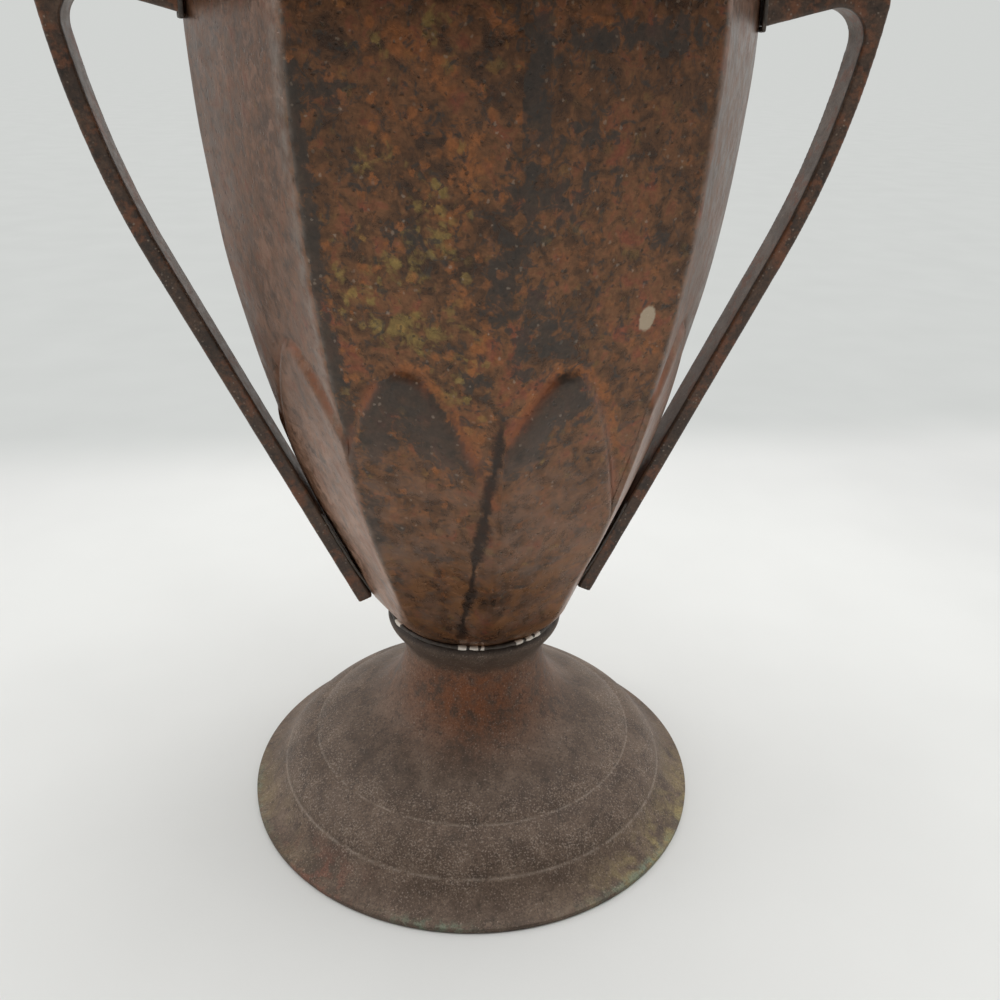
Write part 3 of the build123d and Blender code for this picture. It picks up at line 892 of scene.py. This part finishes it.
def patina(name, panels):
    """Brown copper patina with dark, rust and olive flakes. panels adds the body's own paint."""
    s = Shader(name)
    mottle = s.noise(4.6, 5.0, 0.62, 0.6)
    fine = s.noise(1.25, 4.0, 0.65)
    colour = s.ramp(s.blend(mottle, 0.62, s.noise(17, 3.0, 0.55, 0.4), 0.38), [
        (0.38, DARK_BROWN), (0.47, BROWN), (0.54, WARM_BROWN), (0.63, RED_BROWN),
    ])
    colour, charred = flaked(s, colour, panels)
    colour, pit = specked(s, colour)
    coat = SimpleNamespace(
        colour=s.vary(colour, fine, (0.72, 0.72, 0.72), (1.28, 1.26, 1.24)),
        height=s.minus(s.blend(mottle, 0.6, fine, 0.4), s.times(pit, 0.5)),
        rough=s.plus(s.range(mottle, 0.35, 0.7, 0.26, 0.38), s.times(charred, 0.06)),
        metal=s.range(charred, 0.0, 1.0, 0.60, 0.36),
    )
    if panels:
        paint_panels(s, coat)
    normal = s.bump(coat.height, 0.22, 0.55)
    return s.finish(Base_Color=coat.colour, Roughness=coat.rough, Metallic=coat.metal, Normal=normal, IOR=1.52)


# Patina of the foot

FOOT_DARK = (0.085, 0.057, 0.041)
FOOT_BROWN = (0.138, 0.096, 0.070)
FOOT_PALE = (0.190, 0.136, 0.102)
FOOT_WARM = (0.255, 0.088, 0.034)
FOOT_RED = (0.27, 0.105, 0.070)
FOOT_GREEN = (0.30, 0.235, 0.105)
VERDIGRIS = (0.18, 0.24, 0.17)
COLLAR_BROWN = (0.060, 0.040, 0.030)
FOOT_STAIN = (0.055, 0.040, 0.031)
FOOT_DUST = (0.38, 0.31, 0.255)
FOOT_SOOT = (0.048, 0.036, 0.029)
CREASE_PALE = (0.40, 0.33, 0.27)
LIP_BLACK = (0.030, 0.022, 0.018)


def foot_stains(s, colour, broad, mottle):
    """The colour with the foot's warm neck, red, green and verdigris places, dark collar and dark patches."""
    warm = s.range(s.plus(mottle, s.times(broad, 0.4)), 0.44, 0.80)
    colour = s.paint(colour, FOOT_WARM, s.field("warm"), warm, 0.9)
    red = s.range(s.noise(5.0, 4.0, 0.6), 0.48, 0.62)
    colour = s.paint(colour, FOOT_RED, s.field("red"), red, 0.55)
    green = s.range(s.noise(6.5, 5.0, 0.62, 0.6), 0.36, 0.66)
    colour = s.paint(colour, FOOT_GREEN, s.field("green"), green, 0.85)
    teal = s.range(s.noise(2.6, 5.0, 0.65), 0.42, 0.62)
    colour = s.paint(colour, VERDIGRIS, s.field("verdigris"), teal, 0.7)
    colour = s.paint(colour, COLLAR_BROWN, s.field("collar"), 0.45)
    dark = s.range(s.noise(3.4, 5.0, 0.7), 0.53, 0.68)
    return s.paint(colour, FOOT_STAIN, dark, 0.6)


def foot_material():
    s = Shader("foot_patina")
    broad = s.noise(13, 4.0, 0.6, 0.4)
    mottle = s.noise(3.6, 5.0, 0.65, 0.4)
    fine = s.noise(0.8, 4.0, 0.7)
    colour = s.ramp(s.blend(broad, 0.55, mottle, 0.45), [
        (0.37, FOOT_DARK), (0.50, FOOT_BROWN), (0.62, FOOT_PALE),
    ])
    colour = foot_stains(s, colour, broad, mottle)
    grain = s.noise(0.5, 3.0, 0.6)
    speck = s.range(s.plus(grain, s.blend(s.field("dust"), 0.07, s.noise(7.0, 4.0, 0.65), 0.22)), 0.70, 0.84)
    colour = s.paint(colour, FOOT_DUST, speck, 0.62)
    dark_marks = s.range(s.minus(grain, s.times(s.noise(6.0, 4.0, 0.6), 0.2)), 0.36, 0.26)
    colour = s.paint(colour, FOOT_SOOT, dark_marks, 0.5)
    crease = s.range(s.noise(3.0, 4.0, 0.6), 0.34, 0.56)
    colour = s.paint(colour, CREASE_PALE, s.field("crease"), crease, 0.45)
    colour = s.paint(colour, LIP_BLACK, s.field("lip"), 0.75)
    colour = s.vary(colour, fine, (0.78, 0.78, 0.78), (1.22, 1.21, 1.20))
    height = s.plus(s.blend(mottle, 0.5, fine, 0.5), s.times(speck, 0.5))
    rough = s.range(mottle, 0.3, 0.7, 0.52, 0.68)
    normal = s.bump(height, 0.12, 0.5)
    return s.finish(Base_Color=colour, Roughness=rough, Metallic=0.12, Normal=normal, IOR=1.38)


# Handles, solder and wire

HANDLE_DARK = (0.034, 0.023, 0.017)
HANDLE_BROWN = (0.066, 0.041, 0.028)
HANDLE_PALE = (0.115, 0.068, 0.044)
# Painted light on the handles' narrow faces
HANDLE_LIT_SIDE = (0.205, 0.158, 0.128)
HANDLE_RUST = (0.215, 0.084, 0.040)
HANDLE_LINE = (0.014, 0.010, 0.008)
SOLDER_DARK = (0.034, 0.028, 0.024)
SOLDER_GREY = (0.075, 0.060, 0.048)
SOLDER_PALE = (0.15, 0.125, 0.105)
BARE_SOLDER = (0.84, 0.77, 0.68)
WIRE_DARK = (0.20, 0.085, 0.045)
WIRE_BRIGHT = (0.38, 0.18, 0.10)


def handle_material():
    s = Shader("handle_patina")
    broad = s.noise(11, 4.0, 0.6)
    mottle = s.noise(2.4, 5.0, 0.68, 0.3)
    fine = s.noise(0.6, 4.0, 0.7)
    colour = s.ramp(s.blend(broad, 0.45, mottle, 0.55), [
        (0.38, HANDLE_DARK), (0.48, HANDLE_BROWN), (0.60, HANDLE_PALE),
    ])
    # Painted light: the handles' narrow faces are painted paler, for the light they catch
    colour = s.paint(colour, HANDLE_LIT_SIDE, s.field("side"), s.range(broad, 0.3, 0.6, 0.5, 0.9))
    rust = s.range(s.plus(s.noise(6.0, 5.0, 0.65), s.times(s.noise(1.6, 4.0, 0.6), 0.35)), 0.66, 0.82)
    colour = s.paint(colour, HANDLE_RUST, rust, 0.75)
    away, chance, _ = s.cells(0.75, s.shift(0.6, 0.7))
    speck = s.times(s.range(chance, 0.86, 0.97), s.range(away, 0.48, 0.18))
    colour = s.paint(colour, GREY_SPECK, speck, 0.6)
    colour = s.paint(colour, HANDLE_LINE, s.field("line"), 0.85)
    colour = s.vary(colour, fine, (0.75, 0.75, 0.75), (1.25, 1.24, 1.22))
    height = s.blend(mottle, 0.6, fine, 0.4)
    rough = s.range(mottle, 0.3, 0.7, 0.36, 0.52)
    return s.finish(Base_Color=colour, Roughness=rough, Metallic=0.15, Normal=s.bump(height, 0.16, 0.6))


def solder_material(name, chips):
    """Dull solder under the patina. chips lays it bare and pale in a few places."""
    s = Shader(name)
    mottle = s.noise(1.5, 5.0, 0.65)
    colour = s.ramp(mottle, [(0.35, SOLDER_DARK), (0.55, SOLDER_GREY), (0.72, SOLDER_PALE)])
    if chips:
        bare = s.range(s.plus(s.field("bare"), s.times(s.noise(1.3, 4.0, 0.7), 1.1)), 1.0, 1.12)
        colour = s.mix(bare, colour, BARE_SOLDER)
    rough = s.range(mottle, 0.3, 0.7, 0.45, 0.65)
    return s.finish(Base_Color=colour, Roughness=rough, Metallic=0.2, Normal=s.bump(mottle, 0.2, 0.6))


def wire_material():
    s = Shader("wire_copper")
    mottle = s.noise(2.0, 4.0, 0.6)
    colour = s.ramp(mottle, [(0.35, WIRE_DARK), (0.65, WIRE_BRIGHT)])
    rough = s.range(mottle, 0.3, 0.7, 0.30, 0.50)
    return s.finish(Base_Color=colour, Roughness=rough, Metallic=0.9, Normal=s.bump(mottle, 0.1, 0.4))


# The pieces

def dress(obj, material, node):
    """Gives a piece its material and puts it in a node's place."""
    obj.data.materials.clear()
    obj.data.materials.append(material)
    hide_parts(node)
    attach(obj, "root")


dress(make_body(), patina("body_patina", True), "body")
foot = spun("foot_shell", foot_profile(), FOOT_COLUMNS, foot_wobble, foot_fields)
dress(foot, foot_material(), "foot")
neck = spun("neck_flare", neck_profile(), NECK_COLUMNS, neck_wobble)
dress(neck, patina("neck_patina", False), "neck")
handle_patina = handle_material()
for node in ("handle_left", "handle_right"):
    dress(grown(node, HANDLE_GRAIN), handle_patina, node)
plain_solder = solder_material("solder_patina", False)
dress(make_cup_solder(), solder_material("solder_chips", True), "cup_solder")
for node in ("neck_solder", "arm_solder_left", "arm_solder_right"):
    dress(grown(node, SOLDER_GRAIN), plain_solder, node)
for node in ("bar_solder_left", "bar_solder_right"):
    dress(tuck_in(grown(node, SOLDER_GRAIN)), plain_solder, node)
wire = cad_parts["rim_wire"]
wire.data.materials.clear()
wire.data.materials.append(wire_material())


# Stage: a pale sheet on a pale grey ground

SHEET_TONE = (0.76, 0.765, 0.75)
GROUND_TONE = (0.64, 0.655, 0.64)
# The floor's reach is in metres
FLOOR_REACH = 30.0
# The sheet ends this far behind the vase, and the ground takes over softly
SHEET_BACK, SHEET_SOFT = 285.0, 45.0
# How far from the vase the floor starts to show its plain colour, whatever the light on it
PLAIN_FROM, PLAIN_TO = 190.0, 400.0
ROOM_DARK, ROOM_PALE = (0.11, 0.10, 0.095), (0.80, 0.81, 0.80)
ROOM_TURNS = (-0.8, 0.6, 0.0, 1.0)


def floor_material():
    """Paper that takes the vase's shadow, and shows its plain colour further away."""
    s = Shader("floor_paper")
    tone = s.mix(s.range(s.axis(1), SHEET_BACK - SHEET_SOFT, SHEET_BACK + SHEET_SOFT), SHEET_TONE, GROUND_TONE)
    tone = s.vary(tone, s.noise(60, 2.0, 0.5), (0.985, 0.985, 0.985), (1.015, 1.015, 1.015))
    away = s.node("VectorMath", operation="LENGTH")
    s.put(away.inputs[0], s.place)
    seen = s.node("LightPath").outputs
    ray = s.math("MAXIMUM", seen["Is Camera Ray"], seen["Is Glossy Ray"])
    ray = s.math("MAXIMUM", ray, seen["Is Transmission Ray"])
    plain = s.times(s.range(away.outputs["Value"], PLAIN_FROM, PLAIN_TO), ray)
    lit, glowing = s.fill(s.node("BsdfDiffuse"), tone), s.fill(s.node("Emission"), tone)
    return s.show(s.fill(s.node("MixShader"), plain, lit, glowing))


def make_floor():
    corners = [(x * FLOOR_REACH, y * FLOOR_REACH, 0) for x, y in ((-1, -1), (1, -1), (1, 1), (-1, 1))]
    mesh = bpy.data.meshes.new("floor")
    mesh.from_pydata(corners, [], [(0, 1, 2, 3)])
    mesh.materials.append(floor_material())
    floor = bpy.data.objects.new("floor", mesh)
    bpy.context.scene.collection.objects.link(floor)


def make_world():
    """A room that is dark on the camera's side and pale behind, with a plain ground colour for the camera."""
    s = Shader("room", bpy.data.worlds, "OutputWorld")
    parts = s.node("SeparateXYZ")
    s.put(parts.inputs[0], s.node("TexCoord").outputs["Generated"])
    side = s.fill(s.node("MapRange"), parts.outputs[1], *ROOM_TURNS)
    room = s.fill(s.node("Background"), s.ramp(side, [(0.0, ROOM_DARK), (1.0, ROOM_PALE)]))
    backdrop = s.fill(s.node("Background"), GROUND_TONE)
    seen = s.node("LightPath").outputs["Is Camera Ray"]
    bpy.context.scene.world = s.show(s.fill(s.node("MixShader"), seen, room, backdrop))


# Lamps and camera: places and sizes in metres, powers in watts

LAMPS = (
    ("overhead", (0.15, 0.02, 1.25), (0, 0, 0.05), 1.1, 10.0),
    ("left_window", (-1.1, 0.1, 0.75), (0, 0, 0.15), 0.9, 4.0),
    ("right_window", (1.1, 0.2, 0.75), (0, 0, 0.15), 0.9, 2.4),
)
CAMERA_PLACE = (-0.0307, -0.2650, 0.2199)
CAMERA_HEADING, CAMERA_PITCH, CAMERA_ROLL = math.radians(8.15), math.radians(24.68), math.radians(1.28)
CAMERA_LENS = 36.0


def make_lamp(name, place, target, size, watts):
    data = bpy.data.lights.new(name, "AREA")
    data.shape, data.size, data.energy = "SQUARE", size, watts
    lamp = bpy.data.objects.new(name, data)
    lamp.location = place
    lamp.rotation_mode = "QUATERNION"
    lamp.rotation_quaternion = (Vector(target) - Vector(place)).to_track_quat("-Z", "Y")
    bpy.context.scene.collection.objects.link(lamp)


def make_camera():
    """The photograph's camera, from its place, heading, downward pitch and roll."""
    level = Vector((math.cos(CAMERA_HEADING), -math.sin(CAMERA_HEADING), 0))
    ahead = Vector((math.sin(CAMERA_HEADING), math.cos(CAMERA_HEADING), 0))
    forward = ahead * math.cos(CAMERA_PITCH) - Vector((0, 0, math.sin(CAMERA_PITCH)))
    above = level.cross(forward)
    right = level * math.cos(CAMERA_ROLL) + above * math.sin(CAMERA_ROLL)
    up = -level * math.sin(CAMERA_ROLL) + above * math.cos(CAMERA_ROLL)
    data = bpy.data.cameras.new("camera")
    data.lens, data.sensor_width = CAMERA_LENS, 36.0
    data.clip_start, data.clip_end = 0.01, 100.0
    camera = bpy.data.objects.new("camera", data)
    turn = Matrix((right, up, -forward)).transposed().to_4x4()
    camera.matrix_world = Matrix.Translation(CAMERA_PLACE) @ turn
    bpy.context.scene.collection.objects.link(camera)
    bpy.context.scene.camera = camera


make_floor()
make_world()
for lamp in LAMPS:
    make_lamp(*lamp)
make_camera()
bpy.context.scene.view_settings.view_transform = "Standard"
